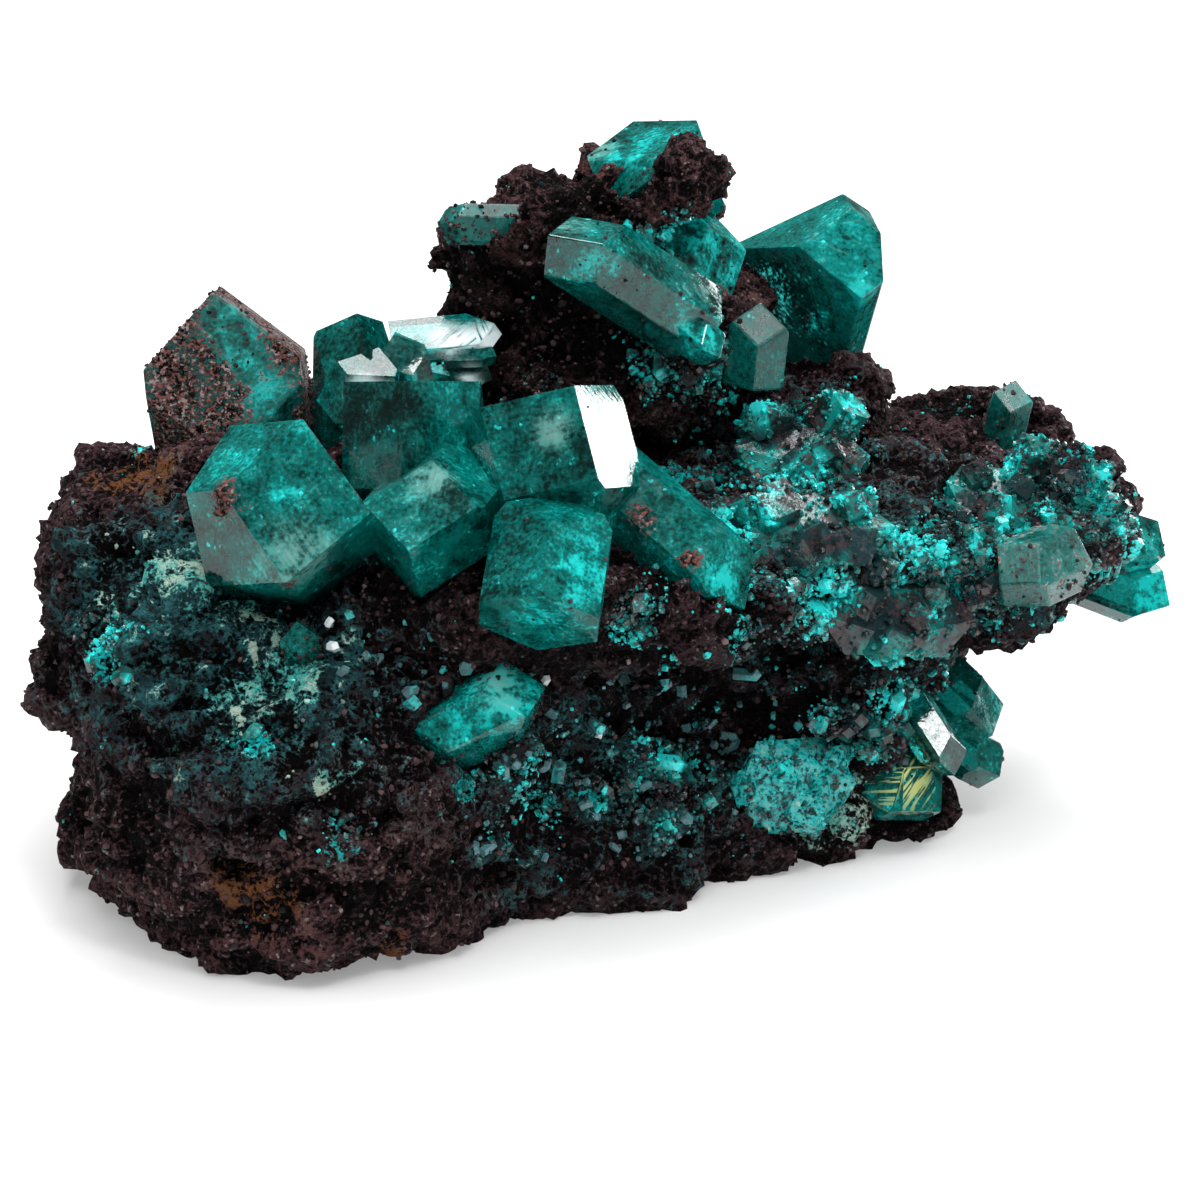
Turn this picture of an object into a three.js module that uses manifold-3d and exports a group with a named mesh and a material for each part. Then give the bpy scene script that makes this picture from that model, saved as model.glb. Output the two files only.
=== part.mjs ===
// Dioptase specimen: green hexagonal crystals on one loose piece of dark brown rock.
// Millimetres, +Z up, resting on z = 0. +X is to the right of the front view, +Y to its back.
import * as THREE from 'three';
import { ConvexGeometry } from 'three/addons/geometries/ConvexGeometry.js';
import { ImprovedNoise } from 'three/addons/math/ImprovedNoise.js';
import { mergeVertices } from 'three/addons/utils/BufferGeometryUtils.js';
import Module from 'manifold-3d';

// Driving dimensions
const rockFacet = 3.9; // edge of one facet of the rock
const rockSwell = 1.6; // height of the wide bumps of the rock
const rockSwellWave = 6; // distance between wide bumps
const rockKnob = 1.3; // height of the small bumps of the rock
const rockKnobWave = 3.3; // distance between small bumps
const socketGap = 0.3; // clearance between a crystal and the socket it sits in
const endFaceAngle = THREE.MathUtils.degToRad(51); // from the long axis to the normal of an end face
const faceUneven = 0.1; // how far the six side faces differ in distance from the axis

// Rock lumps: centre, half sizes, squareness of the section, turn about Z in degrees
const rockLumps = {
  core: { at: [-1, 3, 8], half: [18, 10, 9], square: 3.2, turn: 25 },
  foot: { at: [-12.5, -7.5, 5.5], half: [10, 9.8, 7.5], square: 2.8, turn: 20 },
  leftBlock: { at: [-16.8, -1, 11.4], half: [7.8, 8.5, 6.6], square: 4, turn: 0 },
  leftNub: { at: [-20.6, -5.5, 2.6], half: [3, 3, 2.8], square: 2.4, turn: 0 },
  leftFace: { at: [-15.6, -8.4, 10.2], half: [6.4, 5.6, 5.4], square: 3.4, turn: 15 },
  ledge: { at: [11.5, 2, 13.4], half: [13, 7, 3], square: 2.8, turn: 25 },
  ledgeEnd: { at: [19.4, 3, 12.9], half: [4.6, 5, 2.8], square: 2.4, turn: 0 },
  ledgeUnder: { at: [17, 0.6, 11.8], half: [4.6, 4, 1.9], square: 2.4, turn: 0 },
  frontLip: { at: [-1, -6.5, 14.2], half: [10, 5.5, 2.8], square: 2.6, turn: 8 },
  wallFoot: { at: [-2, -5.8, 3.5], half: [7.6, 5.2, 4.5], square: 2.6, turn: 28 },
  lowRight: { at: [9.6, 1.4, 4.5], half: [5.6, 5.6, 6], square: 3.4, turn: 25 },
  lowEnd: { at: [13.6, 0.4, 1.4], half: [2.7, 3, 2.4], square: 2.6, turn: 0 },
  wallToe: { at: [4.8, -4.2, 1.8], half: [4.4, 3.4, 2.4], square: 2.6, turn: 28 },
  pinnacleLow: { at: [0, 6, 20], half: [6.2, 5, 6], square: 2.2, turn: 0 },
  pinnacleHigh: { at: [-1.3, 6.5, 24.6], half: [6, 4.5, 3.8], square: 2.8, turn: 0 },
  pinnacleSide: { at: [-2.6, 6.6, 26.1], half: [3.6, 3, 2.4], square: 2.4, turn: 0 },
  pinnacleTop: { at: [2.2, 8, 27.9], half: [3, 3, 2.8], square: 2.4, turn: 0 },
  topFront: { at: [0, 4, 27.7], half: [3.7, 2.1, 1.8], square: 2.4, turn: 0 },
  topCrust: { at: [3.6, 3.4, 29], half: [2.1, 1.6, 2.1], square: 2.4, turn: 0 },
  notch: { at: [6, 8.8, 21], half: [2, 1.8, 3.2], square: 2.4, turn: 0 },
  coatedSeat: { at: [-15, 3, 17], half: [5, 4.5, 3.2], square: 2.2, turn: 0 },
  saddle: { at: [-6, -1, 16.6], half: [7, 6, 2.6], square: 2.2, turn: 0 },
  backRidge: { at: [14.5, 10, 14.8], half: [7.5, 4.5, 2.4], square: 2.4, turn: 0 },
  backSeat: { at: [8.8, 7.5, 17], half: [4.4, 3.4, 3], square: 2.4, turn: 0 },
  backLeft: { at: [-10, 8, 9], half: [11, 7.5, 8], square: 2.8, turn: 10 },
  ridgeKnob: { at: [18.4, 9.4, 16.4], half: [2.4, 2, 1.6], square: 2, turn: 0 },
  ledgeKnob: { at: [20.8, 3, 15.4], half: [2.2, 2, 1.6], square: 2, turn: 0 },
};

// Crystals: tip, direction of the long axis, direction the first end face looks to,
// width across two side faces (or the six distances from axis to side face), length from tip to base
const crystals = {
  crystal_coated_left: [
    { tip: [-17.2, 1.5, 25], axis: [-0.08, -0.32, 0.94], face: [0, -0.94, 0.34], width: 7.6, length: 7 },
  ],
  cluster_back_left: [
    { tip: [-10.8, 1.2, 24.1], axis: [0.05, -0.2, 0.98], face: [-0.5, -0.77, 0.39], width: 3.4, length: 6 },
    { tip: [-9.3, -2, 19.9], axis: [0.5, -0.77, -0.36], face: [-0.43, -0.54, 0.73], width: 3.4, length: 3.2 },
    { tip: [-9.1, 1, 23.3], axis: [-0.21, 0.03, 0.98], face: [0.2, -0.92, 0.34], width: 2.3, length: 5 },
    {
      tip: [-4.4, 3, 22.6], axis: [0.97, 0.15, 0.05], face: [0, -0.77, 0.64], length: 5,
      sides: [1.25, 1.25, 0.45, 1.25, 1.25, 0.45],
    },
    {
      tip: [-4.8, 1.3, 21], axis: [0.93, -0.3, -0.1], face: [0, -0.77, 0.64], length: 4,
      sides: [0.95, 0.95, 0.4, 0.95, 0.95, 0.4],
    },
    { tip: [-4.6, 0.6, 22.3], axis: [0.9, -0.4, 0.15], face: [0, -0.42, 0.9], width: 0.9, length: 2.4 },
  ],
  cluster_front: [
    { tip: [-9.6, -12.4, 19.4], axis: [0.77, -0.58, 0.25], face: [0, -0.85, 0.53], width: 7, length: 7 },
    { tip: [-8.4, -8, 23.8], axis: [-0.05, -0.55, 0.84], face: [0, 0.34, 0.94], width: 6.2, length: 7 },
    { tip: [-1.1, -9.3, 24], axis: [0.17, -0.41, 0.9], face: [-0.35, -0.86, 0.37], width: 6.6, length: 8 },
    { tip: [-1.7, -9.5, 19.3], axis: [0.14, 0.75, 0.64], face: [0.05, -0.51, 0.86], width: 4.6, length: 6.3 },
    { tip: [-8, -13.5, 18.1], axis: [-0.22, -0.96, 0], face: [-0.09, -0.29, 0.96], width: 5.1, length: 7 },
    { tip: [6.2, -9.4, 14], axis: [0.73, -0.45, -0.52], face: [0.1, -0.29, 0.95], width: 3.9, length: 9 },
  ],
  crystal_lying: [
    {
      tip: [-2.3, -12.6, 11.7], axis: [0.88, -0.04, 0.47], face: [0, -0.62, 0.79], width: 3, length: 6.8,
      doubled: true,
    },
  ],
  crystal_pinnacle_left: [
    { tip: [-7.3, 3.4, 27.6], axis: [-0.95, -0.28, 0.1], face: [0, -0.07, 1], width: 1.6, length: 5.5 },
  ],
  cluster_pinnacle: [
    {
      tip: [-2.3, -1, 28.3], axis: [-0.75, -0.3, 0.59], face: [-0.6, -0.78, 0.18], length: 8.5,
      sides: [2, 2, 1.9, 1.9, 1.5, 1.4],
    },
    { tip: [5.3, -1.1, 22.7], axis: [0.72, -0.5, -0.48], face: [0.21, -0.34, 0.91], width: 1.7, length: 5.4 },
  ],
  cluster_pinnacle_top: [
    { tip: [1.5, 9, 30.9], axis: [-0.28, 0.69, 0.67], face: [-0.29, -0.19, 0.94], width: 5.5, length: 5 },
    { tip: [5.8, 4.6, 23.4], axis: [0.66, -0.44, -0.61], face: [0.4, -0.49, 0.78], width: 4.3, length: 7 },
  ],
  crystal_back_right: [
    {
      tip: [11.8, 5, 23.7], axis: [0.1, -1, -0.05], face: [-0.68, -0.63, -0.37], length: 6,
      sides: [5.5, 4, 1.1, 2.5, 2.8, 5.2],
    },
  ],
  crystal_back_right_small: [
    { tip: [7.2, 3.4, 24], axis: [0.1, 0.04, 0.99], face: [0, -0.94, 0.34], width: 2.6, length: 3.8 },
  ],
  crystal_ridge: [
    { tip: [19.3, 9, 18.6], axis: [0.21, 0.03, 0.98], face: [0, -0.94, 0.34], width: 1.9, length: 3.5 },
  ],
  cluster_ledge_end: [
    { tip: [26, 2, 10], axis: [0.85, -0.49, -0.19], face: [0, -0.78, 0.62], width: 2.6, length: 4.5 },
    { tip: [25.7, 2, 12.4], axis: [0.9, -0.39, -0.18], face: [0, -0.42, 0.91], width: 2.6, length: 4.5 },
  ],
  crystal_ledge_grey: [
    { tip: [17.5, -5, 13.5], axis: [-0.7, -0.71, -0.06], face: [0, -0.55, 0.84], width: 3, length: 4.5 },
  ],
  cluster_low_front: [
    { tip: [15.9, -3.8, 4], axis: [0.51, -0.56, -0.66], face: [0.64, -0.62, 0.45], width: 1.9, length: 5 },
    { tip: [15.3, -4.2, 2.4], axis: [0.75, -0.58, -0.32], face: [-0.1, -0.54, 0.83], width: 3.2, length: 5 },
  ],
  cluster_low_end: [
    { tip: [17.9, 0, 4.4], axis: [0.64, -0.62, -0.46], face: [0.42, -0.01, 0.91], width: 3, length: 6 },
    { tip: [18.3, 0, 2.4], axis: [0.74, -0.58, -0.35], face: [0.31, -0.33, 0.89], width: 2.2, length: 5 },
  ],
  cluster_rear: [
    { tip: [-7, 17, 15.5], axis: [-0.2, 0.75, 0.63], face: [0.5, 0.6, 0.6], width: 3.6, length: 6 },
    { tip: [-4, 16.6, 12], axis: [0.35, 0.9, 0.2], face: [0, 0.3, 0.95], width: 2.8, length: 5 },
    { tip: [-9.5, 16, 12.6], axis: [-0.5, 0.85, 0.1], face: [0, 0.3, 0.95], width: 2.2, length: 4.5 },
  ],
  crystal_left_wall: [
    { tip: [-12.8, -12.5, 14.6], axis: [-0.1, -0.3, 0.95], face: [0, -0.94, 0.34], width: 1.8, length: 3 },
  ],
};

// Crusts of small crystals: centre, half sizes of the crust, direction it looks to, number and width
const druses = {
  druse_ledge_top: {
    at: [9.3, -4.3, 15.9], half: [4.2, 2.7, 1], out: [0.1, -0.35, 0.93], count: 5, width: 2,
  },
  druse_ledge_front: {
    at: [12.9, -5, 12], half: [4.4, 2, 1], out: [0.3, -0.85, 0.42], count: 5, width: 1.8,
  },
  druse_ledge_gem: {
    at: [17.8, 0.8, 15.6], half: [2.8, 2.2, 0.9], out: [0.2, -0.4, 0.89], count: 4, width: 1.9,
  },
  druse_hollow: {
    at: [9, 1, 17.4], half: [3.6, 2.2, 0.9], out: [0.1, -0.5, 0.86], count: 4, width: 2.2,
  },
  druse_low_right: {
    at: [8.6, -5, 4], half: [3.4, 2.5, 1], out: [0.4, -0.9, 0.2], count: 5, width: 1.6,
  },
};

const wasm = await Module();
wasm.setup();
const noise = new ImprovedNoise();

function vector(list) {
  return new THREE.Vector3(...list);
}

// Closed triangle shape to solid
function toSolid(geometry) {
  geometry.deleteAttribute('normal');
  geometry.deleteAttribute('uv');
  const merged = mergeVertices(geometry, 1e-5);
  const triVerts = new Uint32Array(merged.index.array);
  const vertProperties = new Float32Array(merged.attributes.position.array);
  return new wasm.Manifold(new wasm.Mesh({ numProp: 3, vertProperties, triVerts }));
}

function toGeometry(solid) {
  const mesh = solid.getMesh();
  const geometry = new THREE.BufferGeometry();
  geometry.setAttribute('position', new THREE.BufferAttribute(new Float32Array(mesh.vertProperties), 3));
  geometry.setIndex(new THREE.BufferAttribute(new Uint32Array(mesh.triVerts), 1));
  return geometry;
}

function joinAll(solids) {
  return solids.reduce((joined, solid) => joined.add(solid));
}

// Same numbers each run
function dice(seed) {
  let state = seed;
  return () => {
    state = (state * 16807) % 2147483647;
    return state / 2147483647;
  };
}

// Bump height of the rock at a point
function bumpAt(point) {
  const swell = noise.noise(point.x / rockSwellWave, point.y / rockSwellWave, point.z / rockSwellWave);
  const knob = noise.noise(point.x / rockKnobWave, point.y / rockKnobWave, point.z / rockKnobWave);
  return rockSwell * swell + rockKnob * knob;
}

// Rounded block with bumps; a higher square value gives flatter sides
function rockLump({ at, half, square, turn }) {
  const detail = Math.max(1, Math.round(Math.max(...half) / rockFacet));
  const ball = new THREE.IcosahedronGeometry(1, detail);
  const spots = ball.attributes.position;
  const turnAngle = THREE.MathUtils.degToRad(turn);
  const up = new THREE.Vector3(0, 0, 1);
  const spot = new THREE.Vector3();
  for (let i = 0; i < spots.count; i += 1) {
    spot.fromBufferAttribute(spots, i);
    const sum = Math.abs(spot.x) ** square + Math.abs(spot.y) ** square + Math.abs(spot.z) ** square;
    const outward = spot.clone().applyAxisAngle(up, turnAngle);
    spot.multiplyScalar(sum ** (-1 / square)).multiply(vector(half));
    spot.applyAxisAngle(up, turnAngle).add(vector(at));
    spot.addScaledVector(outward, bumpAt(spot));
    spots.setXYZ(i, spot.x, spot.y, spot.z);
  }
  return toSolid(ball);
}

// Hexagonal prism with three sloping faces at the tip and a flat base, or such faces at both ends
function crystalCorners({ tip, axis, face, width, length, sides, doubled }, grow) {
  const along = vector(axis).normalize();
  const first = vector(face).addScaledVector(along, -vector(face).dot(along)).normalize();
  const second = along.clone().cross(first);
  const sideways = (angle) => {
    const direction = first.clone().multiplyScalar(Math.cos(angle));
    return direction.addScaledVector(second, Math.sin(angle));
  };
  const planes = [];
  for (let side = 0; side < 6; side += 1) {
    const uneven = 1 + faceUneven * Math.sin(side * 2.4 + tip[0] + tip[2]);
    const reach = sides ? sides[side] : (width / 2) * uneven;
    planes.push({ normal: sideways(((side * 2 + 1) * Math.PI) / 6), reach: reach + grow });
  }
  const lean = Math.sin(endFaceAngle);
  const rise = Math.cos(endFaceAngle);
  for (let end = 0; end < 3; end += 1) {
    const top = sideways((end * 2 * Math.PI) / 3).multiplyScalar(lean);
    planes.push({ normal: top.addScaledVector(along, rise), reach: grow });
    if (doubled) {
      const low = sideways(((end * 2 + 1) * Math.PI) / 3).multiplyScalar(lean);
      planes.push({ normal: low.addScaledVector(along, -rise), reach: length * rise + grow });
    }
  }
  if (!doubled) {
    planes.push({ normal: along.clone().negate(), reach: length + grow });
  }
  return planeCorners(planes).map((corner) => corner.add(vector(tip)));
}

function crystal(spec, grow = 0) {
  return toSolid(new ConvexGeometry(crystalCorners(spec, grow)));
}

// Points where three planes meet on or inside all the others
function planeCorners(planes) {
  const corners = [];
  for (let a = 0; a < planes.length; a += 1) {
    for (let b = a + 1; b < planes.length; b += 1) {
      for (let c = b + 1; c < planes.length; c += 1) {
        const corner = meet(planes[a], planes[b], planes[c]);
        const inside = corner && planes.every((plane) => plane.normal.dot(corner) < plane.reach + 1e-6);
        if (inside && corners.every((other) => other.distanceTo(corner) > 1e-3)) {
          corners.push(corner);
        }
      }
    }
  }
  return corners;
}

function meet(a, b, c) {
  const crossed = b.normal.clone().cross(c.normal);
  const volume = a.normal.dot(crossed);
  if (Math.abs(volume) < 1e-6) {
    return null;
  }
  const point = crossed.multiplyScalar(a.reach);
  point.addScaledVector(c.normal.clone().cross(a.normal), b.reach);
  point.addScaledVector(a.normal.clone().cross(b.normal), c.reach);
  return point.divideScalar(volume);
}

// Axes of a crust: across, up along it, and out of it
function crustAxes(out) {
  const outward = vector(out).normalize();
  const across = new THREE.Vector3(1, 0, 0).addScaledVector(outward, -outward.x).normalize();
  return { across, upward: outward.clone().cross(across), outward };
}

function crustPoint(at, axes, x, y, z) {
  const point = vector(at).addScaledVector(axes.across, x);
  return point.addScaledVector(axes.upward, y).addScaledVector(axes.outward, z);
}

// Corners of the lens that carries the crust
function lensCorners({ at, half, out }, grow) {
  const axes = crustAxes(out);
  const spots = new THREE.IcosahedronGeometry(1, 0).attributes.position;
  const corners = [];
  for (let i = 0; i < spots.count; i += 1) {
    const [x, y, z] = [spots.getX(i), spots.getY(i), spots.getZ(i)];
    corners.push(crustPoint(at, axes, x * (half[0] + grow), y * (half[1] + grow), z * (half[2] + grow)));
  }
  return corners;
}

// Small crystals standing on the lens in a sunflower pattern
function crustCrystals({ at, half, out, count, width }) {
  const roll = dice(Math.round(1000 + 37 * at[0] + 101 * at[2]));
  const axes = crustAxes(out);
  const list = [];
  for (let i = 0; i < count; i += 1) {
    const radius = 0.85 * Math.sqrt((i + 0.5) / count);
    const x = radius * Math.cos(i * 2.4) * half[0];
    const y = radius * Math.sin(i * 2.4) * half[1];
    const size = width * (0.7 + 0.5 * roll());
    const jitter = new THREE.Vector3(roll() - 0.5, roll() - 0.5, roll() - 0.5);
    const axis = axes.outward.clone().addScaledVector(jitter, 0.9).toArray();
    const tip = crustPoint(at, axes, x, y, half[2] * Math.sqrt(1 - radius * radius) + size * 0.55).toArray();
    list.push({ tip, axis, face: [roll() - 0.5, -1, roll() - 0.5], width: size, length: size * 1.3 });
  }
  return list;
}

function druse(spec) {
  const lens = toSolid(new ConvexGeometry(lensCorners(spec, 0)));
  return lens.add(cluster(crustCrystals(spec)));
}

// Hull round a whole crust with its clearance
function druseSocket(spec) {
  const corners = lensCorners(spec, socketGap);
  for (const small of crustCrystals(spec)) {
    corners.push(...crystalCorners(small, socketGap));
  }
  return toSolid(new ConvexGeometry(corners));
}

function cluster(list, grow = 0) {
  return joinAll(list.map((spec) => crystal(spec, grow)));
}

// Rock cut flat below, with a socket for each crystal and crust; loose crumbs are dropped
function matrix() {
  const floorBlock = new THREE.BoxGeometry(200, 200, 100).translate(0, 0, -50);
  let rock = joinAll(Object.values(rockLumps).map(rockLump)).subtract(toSolid(floorBlock));
  for (const list of Object.values(crystals)) {
    rock = rock.subtract(cluster(list, socketGap));
  }
  for (const spec of Object.values(druses)) {
    rock = rock.subtract(druseSocket(spec));
  }
  const bodies = rock.decompose();
  return bodies.reduce((big, body) => (body.volume() > big.volume() ? body : big));
}

function paint(color, roughness, opacity) {
  const transparent = opacity < 1;
  return new THREE.MeshStandardMaterial({ color, roughness, metalness: 0, opacity, transparent });
}

const specimen = new THREE.Group();
specimen.name = 'dioptase_specimen';

function addPart(name, solid, material) {
  const mesh = new THREE.Mesh(toGeometry(solid), material);
  mesh.name = name;
  specimen.add(mesh);
}

addPart('matrix', matrix(), paint('#2b1f1c', 0.9, 1));
for (const [name, list] of Object.entries(crystals)) {
  addPart(name, cluster(list), paint('#0c6f60', 0.12, 0.85));
}
for (const [name, spec] of Object.entries(druses)) {
  addPart(name, druse(spec), paint('#0a5f58', 0.2, 0.9));
}

// Origin at the middle of the rest face
const box = new THREE.Box3().setFromObject(specimen);
const middle = box.getCenter(new THREE.Vector3());
for (const mesh of specimen.children) {
  mesh.geometry.translate(-middle.x, -middle.y, -box.min.z);
}

export default specimen;
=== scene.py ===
import math

import bmesh
import bpy
import numpy as np
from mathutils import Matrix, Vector


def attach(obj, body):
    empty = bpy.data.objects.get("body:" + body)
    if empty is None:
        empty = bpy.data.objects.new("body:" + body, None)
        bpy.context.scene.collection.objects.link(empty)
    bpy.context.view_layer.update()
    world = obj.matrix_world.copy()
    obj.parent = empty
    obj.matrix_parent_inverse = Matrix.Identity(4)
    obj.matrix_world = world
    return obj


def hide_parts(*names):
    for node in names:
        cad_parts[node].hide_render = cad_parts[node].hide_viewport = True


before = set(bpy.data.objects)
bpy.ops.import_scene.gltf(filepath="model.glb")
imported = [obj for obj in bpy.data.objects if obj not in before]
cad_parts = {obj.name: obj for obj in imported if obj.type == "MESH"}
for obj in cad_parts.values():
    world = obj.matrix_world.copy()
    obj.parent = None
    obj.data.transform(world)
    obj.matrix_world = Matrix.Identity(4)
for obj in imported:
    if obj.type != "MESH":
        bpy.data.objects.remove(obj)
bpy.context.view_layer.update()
scene = bpy.context.scene
mm = 0.001
print("frame loaded:", len(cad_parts), "nodes")


# smooth random fields, worked on whole arrays of points in mm
def lattice(cell, seed):
    # 0..1 for each whole-number cell, by mixing the bits of its address
    c = (cell & 0xFFFFFFFF).astype(np.uint64)
    n = c[:, 0] * 374761393 + c[:, 1] * 668265263 + c[:, 2] * 2147483647 + seed * 974634777
    n = ((n ^ (n >> 13)) * 1274126177) & 0xFFFFFFFF
    n = ((n ^ (n >> 15)) * 2246822519) & 0xFFFFFFFF
    return ((n ^ (n >> 16)) & 0xFFFFFF) / 16777215.0


def swell(p, wave, seed):
    # eight lattice values round each point, blended by eased distance, -1..1
    q = p / wave
    low = np.floor(q).astype(np.int64)
    t = q - low
    t = t * t * (3 - 2 * t)
    total = np.zeros(len(p))
    for corner in np.ndindex(2, 2, 2):
        side = np.array(corner)
        share = np.where(side == 1, t, 1 - t).prod(1)
        total += share * lattice(low + side, seed)
    return total * 2 - 1


def layers(p, wave, seed, count=4, keep=0.5):
    # swells of halving wave added with falling weight
    total = sum(keep ** k * swell(p, wave / 2 ** k, seed + 17 * k) for k in range(count))
    return total / sum(keep ** k for k in range(count))


def knobs(p, wave, seed):
    # distance to the nearest of one jittered point per cell, in cells, and that point's own number
    q = p / wave
    low = np.floor(q).astype(np.int64)
    near = np.full(len(p), 9.0)
    mark = np.zeros(len(p))
    for step in np.ndindex(3, 3, 3):
        cell = low + np.array(step) - 1
        spot = np.stack([lattice(cell, seed + k) for k in range(3)], 1)
        away = np.linalg.norm(cell + spot - q, axis=1)
        closer = away < near
        near = np.where(closer, away, near)
        mark = np.where(closer, lattice(cell, seed + 5), mark)
    return near, mark


def patches(p, spots):
    # sum of soft round spots (x, y, z, radius, strength)
    total = np.zeros(len(p))
    for x, y, z, radius, strength in spots:
        away = ((p - (x, y, z)) ** 2).sum(1)
        total += strength * np.exp(-away / radius ** 2)
    return total


def smoothStep(value, low, high):
    t = np.clip((value - low) / (high - low), 0, 1)
    return t * t * (3 - 2 * t)


def unit(v):
    return v / np.maximum(np.linalg.norm(v, axis=-1, keepdims=True), 1e-12)


def between(pair, share):
    return pair[0] + (pair[1] - pair[0]) * share


# meshes from and to arrays
def makePiece(name, points, faces, smooth=False, marks=None):
    mesh = bpy.data.meshes.new(name)
    mesh.from_pydata(points * mm, [], faces)
    mesh.polygons.foreach_set("use_smooth", np.full(len(mesh.polygons), smooth))
    for key, values in (marks or {}).items():
        made = mesh.attributes.new(key, "FLOAT", "POINT")
        made.data.foreach_set("value", np.asarray(values, np.float32))
    mesh.update()
    piece = bpy.data.objects.new(name, mesh)
    scene.collection.objects.link(piece)
    return piece


def pointsOf(mesh):
    flat = np.empty(len(mesh.vertices) * 3, np.float32)
    mesh.vertices.foreach_get("co", flat)
    return flat.reshape(-1, 3).astype(float) / mm


def normalsOf(mesh):
    flat = np.empty(len(mesh.vertices) * 3, np.float32)
    mesh.vertex_normals.foreach_get("vector", flat)
    return flat.reshape(-1, 3).astype(float)


def trianglesOf(mesh):
    mesh.calc_loop_triangles()
    flat = np.empty(len(mesh.loop_triangles) * 3, np.int32)
    mesh.loop_triangles.foreach_get("vertices", flat)
    return flat.reshape(-1, 3)


def paint(piece, finish):
    piece.data.materials.clear()
    piece.data.materials.append(finish)


def wear(piece, finish):
    paint(piece, finish)
    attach(piece, "root")


# shader sums: a wire is one output socket, and sums on wires make nodes
class Wire:
    def __init__(self, board, socket):
        self.board = board
        self.socket = socket

    def sum(self, operation, first, second):
        vector = any(isinstance(w, Wire) and w.socket.type in ("VECTOR", "RGBA") for w in (first, second))
        kind = "ShaderNodeVectorMath" if vector else "ShaderNodeMath"
        return self.board.node(kind, {"operation": operation}, {0: first, 1: second})

    def __add__(self, other):
        return self.sum("ADD", self, other)

    def __radd__(self, other):
        return self.sum("ADD", other, self)

    def __sub__(self, other):
        return self.sum("SUBTRACT", self, other)

    def __rsub__(self, other):
        return self.sum("SUBTRACT", other, self)

    def __mul__(self, other):
        return self.sum("MULTIPLY", self, other)

    def __abs__(self):
        return self.sum("ABSOLUTE", self, 0)


class Board:
    def __init__(self, name):
        self.material = bpy.data.materials.new(name)
        self.material.use_nodes = True
        self.tree = self.material.node_tree
        self.tree.nodes.clear()
        self.end = self.tree.nodes.new("ShaderNodeOutputMaterial")

    def feed(self, socket, value):
        if isinstance(value, Wire):
            self.tree.links.new(value.socket, socket)
        elif socket.type == "RGBA":
            socket.default_value = tuple(value)[:3] + (1,)
        elif socket.type == "VECTOR" and not hasattr(value, "__len__"):
            socket.default_value = (value,) * 3
        else:
            socket.default_value = value

    def node(self, kind, settings=None, inputs=None, out=0):
        made = self.tree.nodes.new(kind)
        for key, value in (settings or {}).items():
            setattr(made, key, value)
        for key, value in (inputs or {}).items():
            self.feed(made.inputs[key], value)
        return Wire(self, made.outputs[out])

    def where(self):
        return self.node("ShaderNodeTexCoord", out="Object")

    def mark(self, name):
        return self.node("ShaderNodeAttribute", {"attribute_name": name}, out="Fac")

    def noise(self, where, wave, detail=3, rough=0.55):
        return self.node("ShaderNodeTexNoise", {}, {
            "Vector": where, "Scale": 1 / (wave * mm), "Detail": detail, "Roughness": rough})

    def cellMark(self, where, wave):
        # one random value for each cell
        cells = self.node("ShaderNodeTexVoronoi", {}, {"Vector": where, "Scale": 1 / (wave * mm)}, out="Color")
        return self.node("ShaderNodeSeparateColor", {}, {0: cells})

    def sponge(self, where, wave):
        # 1 along the bent lines where a noise passes its middle, 0 in the pits between them
        away = self.noise(where, wave, 1, 0.5) - 0.5
        return 1 - self.ramp(abs(away), 0.01, 0.13)

    def ramp(self, value, low, high):
        return self.node("ShaderNodeMapRange", {"interpolation_type": "SMOOTHSTEP"}, {
            "Value": value, "From Min": low, "From Max": high})

    def spots(self, where, places):
        # sum of round masks, each 1 in the middle and 0 at its radius
        total = 0
        for x, y, z, radius in places:
            away = self.node("ShaderNodeVectorMath", {"operation": "DISTANCE"}, {
                0: where, 1: (x * mm, y * mm, z * mm)}, out="Value")
            total = (1 - self.ramp(away, 0, radius * mm)) + total
        return total

    def mix(self, share, first, second):
        return self.node("ShaderNodeMix", {"data_type": "RGBA"}, {0: share, 6: first, 7: second}, out=2)

    def bump(self, height, depth):
        return self.node("ShaderNodeBump", {}, {"Height": height, "Distance": depth * mm})

    def surface(self, inputs):
        return self.node("ShaderNodeBsdfPrincipled", {}, inputs)

    def blend(self, share, first, second):
        return self.node("ShaderNodeMixShader", {}, {0: share, 1: first, 2: second})

    def done(self, surface, volume=None):
        self.feed(self.end.inputs["Surface"], surface)
        if volume:
            self.feed(self.end.inputs["Volume"], volume)
        return self.material


# rock: CAD lump remeshed fine, then pushed out by swells, blocks, knobs and pits
rock = {
    "voxel": 0.29, "relax": 4, "lift": 0.2, "strata": (1, 1, 1.7),
    "swell": 0.6, "swellWave": 3.2, "block": 0.8, "blockWave": 2.3, "blockBend": 0.9, "blockMiddle": 0.55,
    "knob": 0.6, "knobWave": 1.05, "knobBend": 0.3, "knobRadius": 0.6,
    "crumb": 0.5, "crumbWave": 0.6, "crumbRadius": 0.55,
    "pit": 0.9, "pitWave": 1.5, "pitRange": (0.36, 0.7), "edgeWave": 1.5, "reliefRange": (-0.45, 0.45),
    "fogWave": 1.8, "patchWave": 0.9, "gritWave": 0.2, "cellWave": 0.16, "spongeWaves": (0.6, 0.26), "bump": 0.3,
    "dark": (0.0014, 0.0008, 0.001), "mid": (0.064, 0.033, 0.039), "light": (0.3, 0.23, 0.23),
    "brown": (0.155, 0.068, 0.06), "rust": (0.2, 0.075, 0.024), "dust": (0.03, 0.14, 0.15),
    "slate": (0.008, 0.028, 0.032), "mint": (0.1, 0.52, 0.46), "cream": (0.52, 0.66, 0.54),
    "teal": (0.006, 0.5, 0.5),
}
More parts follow.
